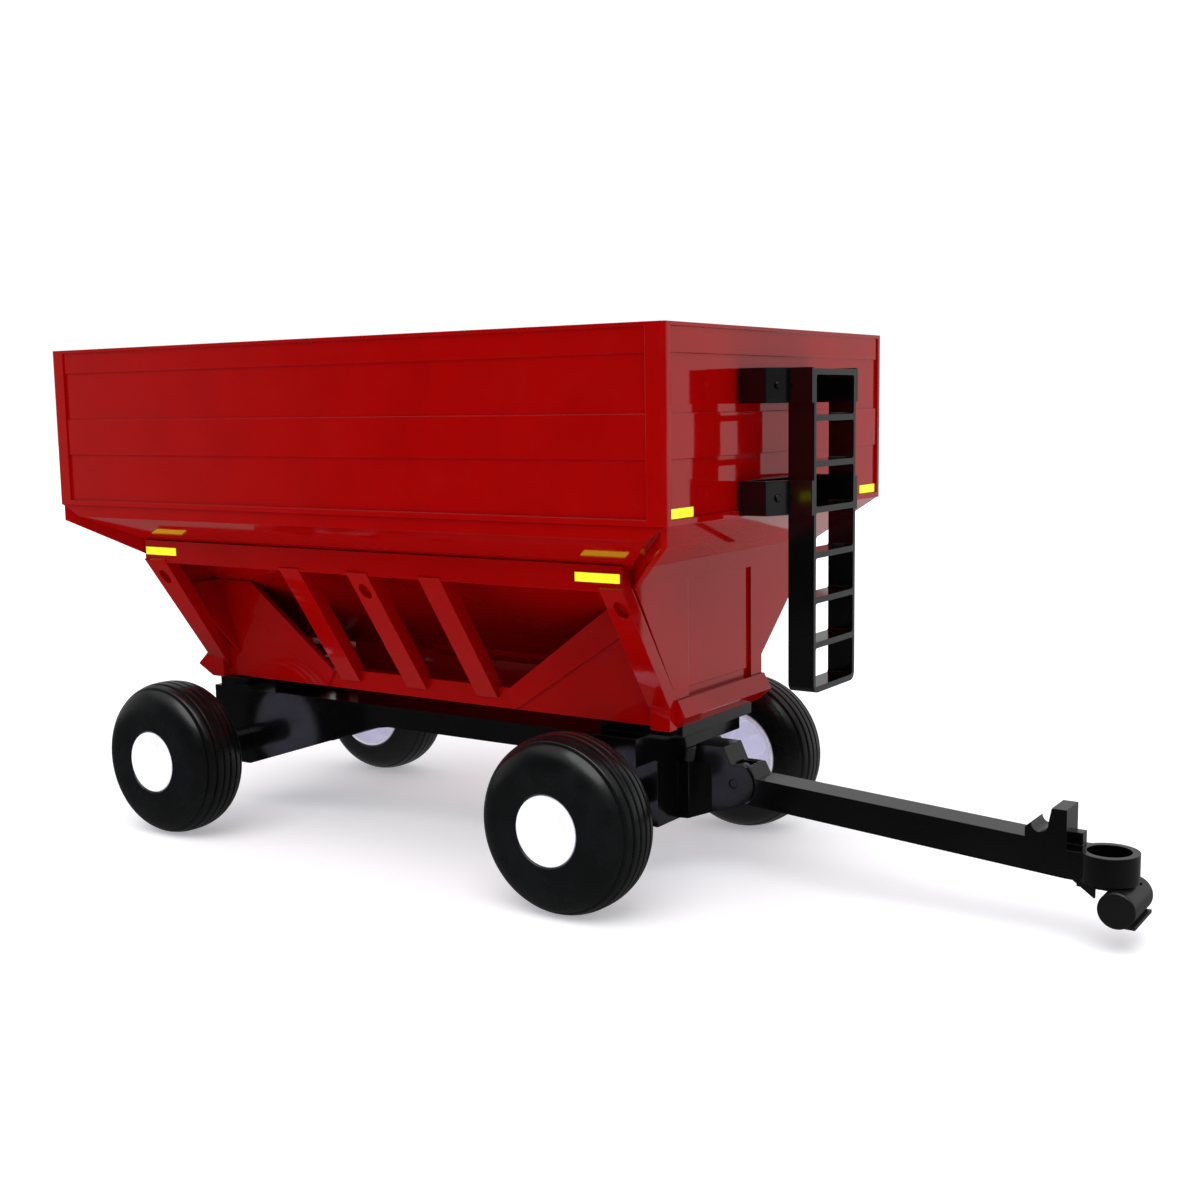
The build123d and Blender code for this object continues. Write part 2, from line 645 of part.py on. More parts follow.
def make_tongue(eye):
    """Tongue bar with a knuckle at its root and a saddle near its end."""
    fall = (tongue_root_low_z - tongue_end_low_z) / (tongue_end_x - hinge_x)

    def low(x):
        """Underside height of the bar."""
        return tongue_root_low_z - (x - hinge_x) * fall

    def top(x):
        """Top height of the bar."""
        return low(x) + tongue_h - (tongue_end_x - x) * 0.01

    side = ((hinge_x, low(hinge_x)), (tongue_end_x, low(tongue_end_x)), (tongue_end_x, saddle_post_z - 9),
            (tongue_end_x, saddle_post_z), (tongue_end_x - 4.6, saddle_post_z),
            (saddle_x + 7.0, 35.4), (saddle_x + 1.6, 35.4), (saddle_x, 34.0), (saddle_x, top(saddle_x)),
            (hinge_x + 8.2, top(hinge_x + 8.2)), (hinge_x + 6.2, yoke_flat_z), (hinge_x, yoke_flat_z))
    bar = slab_xz(side, -tongue_half, tongue_half)
    bar -= rod_y(saddle_x + 4.4, 35.6, 2.7, -9, 9)
    bar -= rod_y(hinge_x, hinge_z, cheek_r + side_gap, -9, 9)
    bar -= block(hinge_x - 1, hinge_x + 1, -9, 9, 0, 60)
    bar += rod_y(hinge_x, hinge_z, knuckle_r, -knuckle_half, knuckle_half)
    bar += block(hinge_x, hinge_x + cheek_r + 2, -knuckle_half, knuckle_half, hinge_z - 5.0, hinge_z + 2.6)
    return bar - eye - rod_y(hinge_x, hinge_z, pin_r, -20, 20)


def make_adapter():
    """Coupling barrel that hangs under the eye, with its seat plate, fin and keel."""
    top = tongue_end_low_z - adapter_gap
    barrel = rod_y(barrel_x, barrel_z, barrel_r, -barrel_half, barrel_half)
    barrel = fillet(barrel.edges().filter_by(GeomType.CIRCLE), 0.8)
    barrel += block(236.0, barrel_x, -4.6, 4.6, top - 1.8, top)
    barrel += slab_xz(((235.0, top), (241.5, top), (241.5, top - 4.6)), -5.2, -3.8)
    keel_z = barrel_z - barrel_r + 0.4
    barrel += block(barrel_x, adapter_front_x - 0.2, -barrel_half + 1, barrel_half - 1, keel_z, keel_z + 1.0)
    return barrel - block(barrel_x + 1, barrel_x + 3.4, 3.5, 6.0, barrel_z + 3.4, top + 1)


# ---------------------------------------------------------------- wheels
def make_tyre(x, side):
    """Smooth-walled balloon tyre with ribbed tread, turned about its axle."""
    half = wheel_w / 2
    out_r = wheel_r
    crown = 0.7
    with BuildSketch(Plane.XY) as section:
        with BuildLine():
            a = Line((face_hole_r, half), (face_hole_r + 7.5, half))
            b = Spline((face_hole_r + 7.5, half), (out_r - 2.6, half - 2.2), (out_r - crown, half - shoulder_r),
                       tangents=((1, 0), (0.25, -1)))
            c = Spline((out_r - crown, half - shoulder_r), (out_r, 0), (out_r - crown, -half + shoulder_r),
                       tangents=((0.25, -1), (-0.25, -1)))
            d = Spline((out_r - crown, -half + shoulder_r), (out_r - 2.6, -half + 2.2),
                       (back_hole_r + 3.0, -half), tangents=((-0.25, -1), (-1, 0)))
            e = Line((back_hole_r + 3.0, -half), (back_hole_r, -half))
            f = Polyline((back_hole_r, -half), (back_hole_r, -half + 15), (face_hole_r, -half + 18),
                         (face_hole_r, half))
        make_face()
        pitch = (wheel_w - 2 * shoulder_r + 3.4) / (tread_grooves - 1)
        for groove in range(tread_grooves):
            place = (groove - (tread_grooves - 1) / 2) * pitch
            with Locations((out_r, place)):
                Rectangle(2 * groove_d + 1.0, groove_w, mode=Mode.SUBTRACT)
    tyre = revolve(section.sketch, axis=Axis.Y)
    if side < 0:
        tyre = tyre.mirror(Plane.XZ)
    return Pos(x, side * wheel_mid_y, axle_z) * tyre


def make_rim(x, side):
    """Dished plastic wheel: face disc, stepped barrel, open back and a hub tube."""
    half = wheel_w / 2
    r_face, r_back = face_hole_r, back_hole_r
    step_low = -half + 15
    step_high = -half + 18
    outline = ((0, half - 1.8), (6.0, half - 1.8), (9.6, half), (r_face, half), (r_face, step_high),
               (r_back, step_low), (r_back, -half), (r_back - rim_wall, -half),
               (r_back - rim_wall, step_low - 0.8), (r_face - rim_wall, step_high - 0.8),
               (r_face - rim_wall, half - 3.6), (hub_r, half - 3.6), (hub_r, -half - 1.2), (0, -half - 1.2))
    sketch = Polygon(*outline, align=None)
    rim = revolve(sketch, axis=Axis.Y)
    rim -= Pos(0, -3.3, 0) * Rot(90, 0, 0) * Cylinder(axle_r + run_gap, wheel_w)
    if side < 0:
        rim = rim.mirror(Plane.XZ)
    return Pos(x, side * wheel_mid_y, axle_z) * rim


# ---------------------------------------------------------------- trim and fasteners
def make_side_reflectors():
    """Two adhesive strips on the right-hand top rail."""
    mid_z = (rail_low_z + rail_high_z) / 2 + 0.2
    strips = None
    for x0 in (rail_rear_x + 0.8, rail_front_x - 1.0 - reflector_len):
        strip = block(x0, x0 + reflector_len, rail_y - reflector_t, rail_y,
                      mid_z - reflector_h / 2, mid_z + reflector_h / 2)
        strips = strip if strips is None else strips + strip
    return strips


def make_end_reflectors(face_x, outward):
    """Two adhesive strips low on one end of the bin."""
    x0, x1 = sorted((face_x, face_x + outward * reflector_t))
    low = band_edges[0] + 0.2
    edge = half_wid - post_wid - 1.0
    strips = block(x0, x1, -edge, -edge + end_reflector_len, low, low + reflector_h)
    return strips + block(x0, x1, edge - end_reflector_len, edge, low, low + reflector_h)


def make_chassis_screws():
    """Four screws up through the chassis into the rear bolster."""
    seat = chassis_top_z - chassis_wall
    screws = None
    for x, y in rear_screw_places():
        screw = rod_z(x, y, screw_r, seat, beam_low_z - 1.5)
        screw += rod_z(x, y, screw_head_r, seat - screw_head_h, seat)
        screw -= block(x - 1.6, x + 1.6, y - 0.3, y + 0.3, seat - screw_head_h, seat - screw_head_h / 2)
        screws = screw if screws is None else screws + screw
    return screws


def main():
    """Build every node and write it."""
    os.makedirs("parts", exist_ok=True)
    front_beam = make_cross_beam(front_panel_x, 1, beam_nose, -beam_half)
    rear_beam = make_cross_beam(rear_panel_x, -1, rear_beam_nose, foot_y)
    side_frame = make_side_frame_right((front_beam, rear_beam))
    hopper = make_hopper(side_frame)
    save("bin_walls", make_bin())
    save("hopper", hopper - front_beam - rear_beam)
    save("side_frame_right", side_frame)
    chute = make_chute(hopper)
    save("side_rails_left", make_side_rails_left(hopper, chute))
    save("front_cross_beam", front_beam)
    save("rear_cross_beam", rear_beam)
    save("discharge_chute", chute)
    save("door_guides", make_door_guides())
    save("discharge_door", make_door())
    save("ladder", make_ladder())
    save("ladder_bracket_upper", make_bracket(*bracket_zs[0]))
    save("ladder_bracket_lower", make_bracket(*bracket_zs[1]))
    save("ladder_rivets", make_ladder_rivets())
    save("chassis_frame", make_chassis())
    save("rear_bolster", make_rear_bolster())
    save("rear_axle_housing", make_axle_housing())
    save("rear_axle", make_axle(rear_axle_x))
    save("front_bolster", make_front_bolster())
    save("king_pin", make_king_pin())
    save("front_axle_carrier", make_carrier())
    save("front_axle", make_axle(front_axle_x))
    save("tongue_pin", make_tongue_pin())
    eye = make_hitch_eye()
    save("tongue", make_tongue(eye))
    save("hitch_eye", eye)
    save("hitch_adapter", make_adapter())
    for end, x in (("front", front_axle_x), ("rear", rear_axle_x)):
        for hand, side in (("left", 1), ("right", -1)):
            save(f"tyre_{end}_{hand}", make_tyre(x, side))
            save(f"rim_{end}_{hand}", make_rim(x, side))
    save("side_reflectors", make_side_reflectors())
    save("front_reflectors", make_end_reflectors(half_len - band_insets[0], 1))
    save("rear_reflectors", make_end_reflectors(-half_len + band_insets[0], -1))
    save("chassis_screws", make_chassis_screws())


main()
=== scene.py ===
"""Looks of the toy gravity wagon: moulded finishes, turned wheels and studio."""

from __future__ import annotations

import logging
import math
from dataclasses import dataclass, field
from enum import Enum
from typing import Any, Callable, Optional, Sequence

import bpy
import numpy as np
from mathutils import Matrix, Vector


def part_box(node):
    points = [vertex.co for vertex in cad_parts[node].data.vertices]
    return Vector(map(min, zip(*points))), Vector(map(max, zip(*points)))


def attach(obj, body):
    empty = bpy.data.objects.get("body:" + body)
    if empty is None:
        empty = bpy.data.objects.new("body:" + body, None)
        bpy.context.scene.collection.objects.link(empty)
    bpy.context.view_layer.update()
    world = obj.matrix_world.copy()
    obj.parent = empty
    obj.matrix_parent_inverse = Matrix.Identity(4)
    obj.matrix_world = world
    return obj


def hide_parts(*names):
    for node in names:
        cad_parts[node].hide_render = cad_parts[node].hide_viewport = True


LOG = logging.getLogger("gravity_wagon")
MM = 0.001

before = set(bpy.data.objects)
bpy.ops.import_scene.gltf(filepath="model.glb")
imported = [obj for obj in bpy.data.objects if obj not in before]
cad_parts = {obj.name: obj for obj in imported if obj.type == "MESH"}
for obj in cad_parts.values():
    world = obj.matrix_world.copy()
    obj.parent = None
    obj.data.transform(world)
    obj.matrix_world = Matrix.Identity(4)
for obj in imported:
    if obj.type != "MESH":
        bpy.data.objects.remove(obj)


# ------------------------------------------------------------------ small tools
def linear(code: str) -> tuple[float, float, float, float]:
    """Turn an sRGB hex colour into linear RGBA.

    Args:
        code: six hex digits, with or without a leading hash.

    Returns:
        Linear red, green, blue and an alpha of one.
    """
    digits = code.lstrip("#")
    srgb = np.array([int(digits[i : i + 2], 16) for i in (0, 2, 4)]) / 255.0
    lin = np.where(srgb <= 0.04045, srgb / 12.92, ((srgb + 0.055) / 1.055) ** 2.4)
    return (float(lin[0]), float(lin[1]), float(lin[2]), 1.0)


def node(
    tree: bpy.types.NodeTree,
    kind: str,
    settings: Optional[dict[str, Any]] = None,
    values: Optional[dict[Any, Any]] = None,
    links: Optional[dict[Any, Any]] = None,
) -> bpy.types.Node:
    """Add one shader node.

    Args:
        tree: the node tree it goes into.
        kind: Blender's node type.
        settings: properties of the node itself.
        values: constants, keyed by input name or number.
        links: output sockets of other nodes, keyed by input name or number.

    Returns:
        The new node.
    """
    made = tree.nodes.new(kind)
    for name, value in (settings or {}).items():
        setattr(made, name, value)
    for key, value in (values or {}).items():
        made.inputs[key].default_value = value
    for key, socket in (links or {}).items():
        tree.links.new(socket, made.inputs[key])
    return made


def per_mm(size: float) -> float:
    """Scale of a noise whose features are about this many millimetres across."""
    return 1.0 / (size * MM)


# ------------------------------------------------------------------ finishes
class Gloss(Enum):
    """How the mould that a piece came out of was finished."""

    MIRROR = 0.045
    POLISHED = 0.12
    SATIN = 0.34
    MATT = 0.5


@dataclass(frozen=True)
class MouldedPlastic:
    """Injection-moulded plastic: a smooth skin with faint flow waves, specks and softened edges.

    The base colour is nearly even, because the dye is in the plastic. The polished mould gives a
    mirror gloss, the shrinkage gives a slow waviness, and handling leaves faint hairline dulling.
    """

    name: str
    colour: str
    edge_colour: str
    gloss: Gloss
    ior: float = 1.53
    coat: float = 0.0
    wave_mm: float = 38.0
    wave_height_mm: float = 0.012
    grain_mm: float = 1.1
    grain_height_mm: float = 0.002
    edge_mm: float = 0.35
    wear: float = 0.35
    # Strength and colour of a painted glow: emission that stands in for light, not a lamp.
    painted_glow: float = 0.0
    painted_glow_colour: str = "#FFFFFF"

    def build(self) -> bpy.types.Material:
        """Make the node material.

        Returns:
            The material, on Object coordinates.
        """
        made = bpy.data.materials.new(self.name)
        made.use_nodes = True
        tree = made.node_tree
        tree.nodes.clear()
        place = node(tree, "ShaderNodeTexCoord").outputs["Object"]
        dye = node(
            tree,
            "ShaderNodeTexNoise",
            values={"Scale": per_mm(24.0), "Detail": 3.0, "Roughness": 0.55},
            links={"Vector": place},
        )
        tint = node(
            tree,
            "ShaderNodeMix",
            {"data_type": "RGBA"},
            {6: linear(self.colour), 7: linear(self.edge_colour)},
            {0: self.stretched(tree, dye.outputs["Fac"], 0.42, 0.72, 0.0, 0.55)},
        )
        handling = node(
            tree,
            "ShaderNodeTexNoise",
            values={"Scale": per_mm(9.0), "Detail": 6.0, "Roughness": 0.68, "Distortion": 0.6},
            links={"Vector": place},
        )
        base = self.gloss.value
        rough = self.stretched(tree, handling.outputs["Fac"], 0.48, 0.78, base, base + self.wear * 0.22)
        wave = node(
            tree,
            "ShaderNodeTexNoise",
            values={"Scale": per_mm(self.wave_mm), "Detail": 1.0},
            links={"Vector": place},
        )
        grain = node(
            tree,
            "ShaderNodeTexNoise",
            values={"Scale": per_mm(self.grain_mm), "Detail": 2.0},
            links={"Vector": place},
        )
        edge = node(tree, "ShaderNodeBevel", {"samples": 6}, {"Radius": self.edge_mm * MM})
        slow = node(
            tree,
            "ShaderNodeBump",
            values={"Strength": 1.0, "Distance": self.wave_height_mm * MM * 8.0},
            links={"Height": wave.outputs["Fac"], "Normal": edge.outputs["Normal"]},
        )
        fine = node(
            tree,
            "ShaderNodeBump",
            values={"Strength": 1.0, "Distance": self.grain_height_mm * MM},
            links={"Height": grain.outputs["Fac"], "Normal": slow.outputs["Normal"]},
        )
        skin = node(
            tree,
            "ShaderNodeBsdfPrincipled",
            values={"IOR": self.ior, "Coat Weight": self.coat, "Coat Roughness": 0.03},
            links={"Base Color": tint.outputs[2], "Roughness": rough, "Normal": fine.outputs["Normal"]},
        )
        if self.painted_glow > 0.0:
            # Painted light: a faint emission in the glow colour brightens the pale parts as if more light fell on them;
            # the plastic gives off no light.
            skin.inputs["Emission Color"].default_value = linear(self.painted_glow_colour)
            skin.inputs["Emission Strength"].default_value = self.painted_glow
        node(tree, "ShaderNodeOutputMaterial", links={"Surface": skin.outputs["BSDF"]})
        return made

    @staticmethod
    def stretched(
        tree: bpy.types.NodeTree, socket: bpy.types.NodeSocket, low: float, high: float, to_low: float, to_high: float
    ) -> bpy.types.NodeSocket:
        """Map a value from one span to another, held at its ends.

        Args:
            tree: the node tree.
            socket: the value.
            low: start of the span it comes from.
            high: end of that span.
            to_low: what the start becomes.
            to_high: what the end becomes.

        Returns:
            The mapped value's socket.
        """
        values = {"From Min": low, "From Max": high, "To Min": to_low, "To Max": to_high}
        return node(tree, "ShaderNodeMapRange", values=values, links={"Value": socket}).outputs["Result"]


@dataclass(frozen=True)
class TyreVinyl:
    """Blow-moulded PVC: satin black, a little dusty in its pores, with a pebbled skin."""

    name: str
    colour: str
    dust: str
    pore_mm: float = 0.9

    def build(self) -> bpy.types.Material:
        """Make the node material.

        Returns:
            The material, on Object coordinates.
        """
        made = bpy.data.materials.new(self.name)
        made.use_nodes = True
        tree = made.node_tree
        tree.nodes.clear()
        place = node(tree, "ShaderNodeTexCoord").outputs["Object"]
        cloud = node(
            tree,
            "ShaderNodeTexNoise",
            values={"Scale": per_mm(13.0), "Detail": 5.0, "Roughness": 0.6},
            links={"Vector": place},
        )
        pores = node(tree, "ShaderNodeTexNoise", values={"Scale": per_mm(self.pore_mm), "Detail": 3.0}, links={"Vector": place})
        mix = MouldedPlastic.stretched(tree, cloud.outputs["Fac"], 0.42, 0.75, 0.0, 0.5)
        tint = node(tree, "ShaderNodeMix", {"data_type": "RGBA"}, {6: linear(self.colour), 7: linear(self.dust)}, {0: mix})
        rough = MouldedPlastic.stretched(tree, cloud.outputs["Fac"], 0.35, 0.75, 0.2, 0.36)
        bump = node(
            tree,
            "ShaderNodeBump",
            values={"Strength": 1.0, "Distance": 0.02 * MM},
            links={"Height": pores.outputs["Fac"]},
        )
        skin = node(
            tree,
            "ShaderNodeBsdfPrincipled",
            values={"IOR": 1.5},
            links={"Base Color": tint.outputs[2], "Roughness": rough, "Normal": bump.outputs["Normal"]},
        )
        node(tree, "ShaderNodeOutputMaterial", links={"Surface": skin.outputs["BSDF"]})
        return made


@dataclass(frozen=True)
class DrawnSteel:
    """Zinc-plated drawn rod: a metal with fine drawing lines along it and dull spots in the plating."""

    name: str
    colour: str
    line_mm: float = 0.25

    def build(self) -> bpy.types.Material:
        """Make the node material.

        Returns:
            The material, on Object coordinates.
        """
        made = bpy.data.materials.new(self.name)
        made.use_nodes = True
        tree = made.node_tree
        tree.nodes.clear()
        place = node(tree, "ShaderNodeTexCoord").outputs["Object"]
        along = node(tree, "ShaderNodeMapping", values={"Scale": (1.0, 0.04, 1.0)}, links={"Vector": place})
        lines = node(
            tree,
            "ShaderNodeTexNoise",
            values={"Scale": per_mm(self.line_mm), "Detail": 3.0},
            links={"Vector": along.outputs["Vector"]},
        )
        spots = node(tree, "ShaderNodeTexNoise", values={"Scale": per_mm(4.0), "Detail": 4.0}, links={"Vector": place})
        rough = MouldedPlastic.stretched(tree, spots.outputs["Fac"], 0.4, 0.7, 0.24, 0.42)
        bump = node(
            tree,
            "ShaderNodeBump",
            values={"Strength": 0.5, "Distance": 0.01 * MM},
            links={"Height": lines.outputs["Fac"]},
        )
        skin = node(
            tree,
            "ShaderNodeBsdfPrincipled",
            values={"Base Color": linear(self.colour), "Metallic": 1.0},
            links={"Roughness": rough, "Normal": bump.outputs["Normal"]},
        )
        node(tree, "ShaderNodeOutputMaterial", links={"Surface": skin.outputs["BSDF"]})
        return made


@dataclass(frozen=True)
class PrismFilm:
    """Adhesive film: a clear glossy face over yellow, with a fine prism lattice pressed in behind."""

    name: str
    colour: str
    cell: str
    cell_mm: float = 0.8
    painted_glow: float = 0.0

    def build(self) -> bpy.types.Material:
        """Make the node material.

        Returns:
            The material, on Object coordinates.
        """
        made = bpy.data.materials.new(self.name)
        made.use_nodes = True
        tree = made.node_tree
        tree.nodes.clear()
        place = node(tree, "ShaderNodeTexCoord").outputs["Object"]
        cells = node(tree, "ShaderNodeTexVoronoi", values={"Scale": per_mm(self.cell_mm), "Randomness": 0.25}, links={"Vector": place})
        mix = MouldedPlastic.stretched(tree, cells.outputs["Distance"], 0.3, 0.7, 0.0, 0.6)
        tint = node(tree, "ShaderNodeMix", {"data_type": "RGBA"}, {6: linear(self.colour), 7: linear(self.cell)}, {0: mix})
        bump = node(
            tree,
            "ShaderNodeBump",
            values={"Strength": 0.4, "Distance": 0.02 * MM},
            links={"Height": cells.outputs["Distance"]},
        )
        skin = node(
            tree,
            "ShaderNodeBsdfPrincipled",
            values={"Roughness": 0.35, "IOR": 1.49, "Coat Weight": 0.4, "Coat Roughness": 0.08},
            links={"Base Color": tint.outputs[2], "Normal": bump.outputs["Normal"]},
        )
        if self.painted_glow > 0.0:
            # A retroreflector sends the studio lamp back at the lens, so it looks brighter than its dye; here that
            # brightness is a painted glow in the film's own colour.
            tree.links.new(tint.outputs[2], skin.inputs["Emission Color"])
            skin.inputs["Emission Strength"].default_value = self.painted_glow
        node(tree, "ShaderNodeOutputMaterial", links={"Surface": skin.outputs["BSDF"]})
        return made


@dataclass
class Finishes:
    """Every finish on the wagon, made once."""

    red: bpy.types.Material = field(init=False)
    black: bpy.types.Material = field(init=False)
    adapter: bpy.types.Material = field(init=False)
    white: bpy.types.Material = field(init=False)
    tyre: bpy.types.Material = field(init=False)
    steel: bpy.types.Material = field(init=False)
    film: bpy.types.Material = field(init=False)

    def __post_init__(self) -> None:
        """Build the materials."""
        self.red = MouldedPlastic("moulded_abs_red", "#9A0303", "#8C0203", Gloss.MIRROR, coat=0.1).build()
        self.black = MouldedPlastic("moulded_abs_black", "#060607", "#0B0B0C", Gloss.POLISHED).build()
        self.adapter = MouldedPlastic("moulded_abs_black_fine", "#0C0C0E", "#141416", Gloss.SATIN).build()
        # The white finish carries a painted lavender glow that lifts its shaded sides.
        self.white = MouldedPlastic(
            "moulded_abs_white", "#F6F6F8", "#F0F0F4", Gloss.POLISHED, painted_glow=0.14, painted_glow_colour="#D9D4FF"
        ).build()
        self.tyre = TyreVinyl("blown_pvc_tyre", "#0C0D0E", "#16181A").build()
        self.steel = DrawnSteel("zinc_plated_rod", "#B9BABD").build()
        # The reflector film carries a painted glow that stands in for its retroreflected highlight.
        self.film = PrismFilm("reflective_film_yellow", "#FFFF12", "#F2F000", painted_glow=0.35).build()

    def dress(self, names: Sequence[str], finish: bpy.types.Material) -> None:
        """Put a finish on CAD nodes.

        Args:
            names: the nodes.
            finish: what they get.
        """
        for name in names:
            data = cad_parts[name].data
            if not data.materials:
                data.materials.append(finish)
            for place in range(len(data.materials)):
                data.materials[place] = finish


# ------------------------------------------------------------------ grid surfaces
def grid_mesh(name: str, points: np.ndarray, wrap_u: bool, wrap_v: bool, sharp_deg: float = 32.0) -> bpy.types.Object:
    """Make a mesh from a rectangular grid of points.

    Args:
        name: the new object's name.
        points: rows by columns by three, in metres.
        wrap_u: whether the last row joins the first.
        wrap_v: whether the last column joins the first.
        sharp_deg: edges that turn by more than this stay sharp.

    Returns:
        The object, smooth-shaded, at the origin.
    """
    rows, cols = points.shape[:2]
    u = np.arange(rows if wrap_u else rows - 1)
    v = np.arange(cols if wrap_v else cols - 1)
    a, b = np.meshgrid(u, v, indexing="ij")
    a2, b2 = (a + 1) % rows, (b + 1) % cols
    quads = np.stack([a * cols + b, a * cols + b2, a2 * cols + b2, a2 * cols + b], -1).reshape(-1, 4)
    mesh = bpy.data.meshes.new(name)
    mesh.vertices.add(rows * cols)
    mesh.vertices.foreach_set("co", points.reshape(-1).astype(np.float32))
    mesh.loops.add(quads.size)
    mesh.loops.foreach_set("vertex_index", quads.reshape(-1).astype(np.int32))
    mesh.polygons.add(len(quads))
    mesh.polygons.foreach_set("loop_start", (np.arange(len(quads)) * 4).astype(np.int32))
    mesh.polygons.foreach_set("loop_total", np.full(len(quads), 4, np.int32))
    mesh.update(calc_edges=True)
    mesh.polygons.foreach_set("use_smooth", np.ones(len(quads), bool))
    mesh.set_sharp_from_angle(angle=math.radians(sharp_deg))
    mesh.validate()
    made = bpy.data.objects.new(name, mesh)
    bpy.context.collection.objects.link(made)
    return made


def rounded(outline: np.ndarray, step: float) -> np.ndarray:
    """Put extra points along an outline, evenly by length, and keep its corners.

    Args:
        outline: corner points, n by 2.
        step: longest distance between points.

    Returns:
        The denser outline.
    """
    spans = np.linalg.norm(np.diff(outline, axis=0), axis=1)
    counts = np.maximum(1, np.ceil(spans / step)).astype(int)
    parts = [outline[i] + (outline[i + 1] - outline[i]) * np.linspace(0, 1, n, endpoint=False)[:, None] for i, n in enumerate(counts)]
    return np.vstack([*parts, outline[-1:]])


def softened(outline: np.ndarray, radius: float, arcs: int = 4) -> np.ndarray:
    """Round every inner corner of an open outline with a small curve.

    Each corner P is swapped for the quadratic curve (1-t)^2 A + 2t(1-t) P + t^2 B, where A and B
    lie a radius before and after it.

    Args:
        outline: corner points, n by 2.
        radius: how far from the corner the curve starts.
        arcs: pieces per corner.

    Returns:
        The softened outline.
    """
    t = np.linspace(0, 1, arcs + 1)[:, None]
    parts = [outline[:1]]
    for before, corner, after in zip(outline, outline[1:], outline[2:]):
        back, ahead = before - corner, after - corner
        reach = min(radius, np.linalg.norm(back) * 0.45, np.linalg.norm(ahead) * 0.45)
        start = corner + back / np.linalg.norm(back) * reach
        end = corner + ahead / np.linalg.norm(ahead) * reach
        parts.append((1 - t) ** 2 * start + 2 * t * (1 - t) * corner + t**2 * end)
    return np.vstack([*parts, outline[-1:]])


def turned(name: str, profile: np.ndarray, centre: np.ndarray, side: int, steps: int) -> bpy.types.Object:
    """Turn a closed profile about an axle along Y.

    A point (r, y) of the profile goes to centre + (r sin a, side*y, r cos a) for each angle a.

    Args:
        name: the new object's name.
        profile: closed outline of (radius, distance outward from mid-wheel), in millimetres.
        centre: the wheel's middle, in metres.
        side: +1 on the wagon's left, -1 on its right.
        steps: how many angles.

    Returns:
        The turned object.
    """
    angle = np.linspace(0, 2 * math.pi, steps, endpoint=False) * side
    r, y = profile[:, 0:1] * MM, profile[:, 1:2] * MM
    points = np.stack(
        [centre[0] + r * np.sin(angle), centre[1] + side * y + 0 * angle, centre[2] + r * np.cos(angle)],
        -1,
    )
    return grid_mesh(name, points, True, True)


# ------------------------------------------------------------------ wheels
@dataclass
class Wheel:
    """One balloon tyre on its dished rim."""

    end: str
    hand: str
    side: int
    radius: float = 29.4
    width: float = 23.9
    face_hole: float = 11.6
    back_hole: float = 17.4
    grooves: int = 6
    groove_pitch: float = 3.06
    groove_depth: float = 0.95
    groove_half: float = 0.62
    roundness: float = 2.55

    @property
    def centre(self) -> np.ndarray:
        """The wheel's middle, from its tyre's box."""
        low, high = (np.array(corner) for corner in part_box(f"tyre_{self.end}_{self.hand}"))
        return (low + high) / 2

    def tyre_profile(self) -> np.ndarray:
        """Closed tyre outline.

        From bead to bead it is r = r0 + (R - r0) sin(t)^(2/n), y = h cos(t)^(2/n) with the cosine's
        sign kept, and each groove takes depth * cos^2 of the distance to its middle off r.

        Returns:
            Points of (radius, outward distance), in millimetres.
        """
        half = self.width / 2
        t = np.linspace(0.0, math.pi, 190)
        power = 2 / self.roundness
        r0 = np.where(t < math.pi / 2, self.face_hole + 5.4, self.back_hole + 2.2)
        r = r0 + (self.radius - r0) * np.sin(t).clip(0) ** power
        y = half * np.sign(np.cos(t)) * np.abs(np.cos(t)) ** power
        middles = (np.arange(self.grooves) - (self.grooves - 1) / 2) * self.groove_pitch
        off = np.abs(y[:, None] - middles[None, :]) / self.groove_half
        cut = (np.cos(np.clip(off, 0, 1) * math.pi / 2) ** 2).max(1) * self.groove_depth
        r = r - np.where(r > self.radius - 6, cut, 0)
        crown = np.stack([r, y], -1)
        # The blown halves meet in a low ring just outside the rim's seat.
        ring = np.array([[self.face_hole, half - 2.2], [self.face_hole, half - 0.5], [self.face_hole + 0.5, half]])
        back = np.array(
            [[self.back_hole + 0.6, -half], [self.back_hole, -half + 0.6], [self.back_hole, -half + 15], [self.face_hole, -half + 18]]
        )
        return np.vstack([ring, crown, back])

    def rim_profile(self) -> np.ndarray:
        """Closed rim outline: domed cap, face disc, stepped barrel and hub, corners softened.

        Returns:
            Points of (radius, outward distance), in millimetres.
        """
        half = self.width / 2
        step_low, step_high = -half + 15, -half + 18
        r_face, r_back, wall = self.face_hole - 0.02, self.back_hole - 0.02, 1.6
        outline = np.array(
            [
                (0.0, half - 1.8),
                (5.4, half - 1.8),
                (9.4, half - 0.15),
                (r_face, half - 0.15),
                (r_face, step_high),
                (r_back, step_low),
                (r_back, -half),
                (r_back - wall, -half),
                (r_back - wall, step_low - 0.8),
                (r_face - wall, step_high - 0.8),
                (r_face - wall, half - 3.6),
                (4.2, half - 3.6),
                (4.2, -half - 1.2),
                (2.1, -half - 1.2),
                (2.1, half - 2.8),
                (0.0, half - 2.8),
            ]
        )
        return rounded(softened(outline, 0.5), 2.0)

    def build(self, finishes: Finishes) -> list[bpy.types.Object]:
        """Make tyre and rim, and hang them on the wheel's body.

        Args:
            finishes: the wagon's finishes.

        Returns:
            The new pieces.
        """
        made = []
        body = f"wheel_{self.end}_{self.hand}"
        for kind, profile, finish, slot in (
            ("tyre", self.tyre_profile(), finishes.tyre, "tyre_rubber"),
            ("rim", self.rim_profile(), finishes.white, "white_rim"),
        ):
            piece = turned(f"turned_{kind}_{self.end}_{self.hand}", profile, self.centre, self.side, 144)
            piece.data.materials.append(finish)
            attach(piece, body)
            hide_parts(f"{kind}_{self.end}_{self.hand}")
            made.append(piece)
        return made


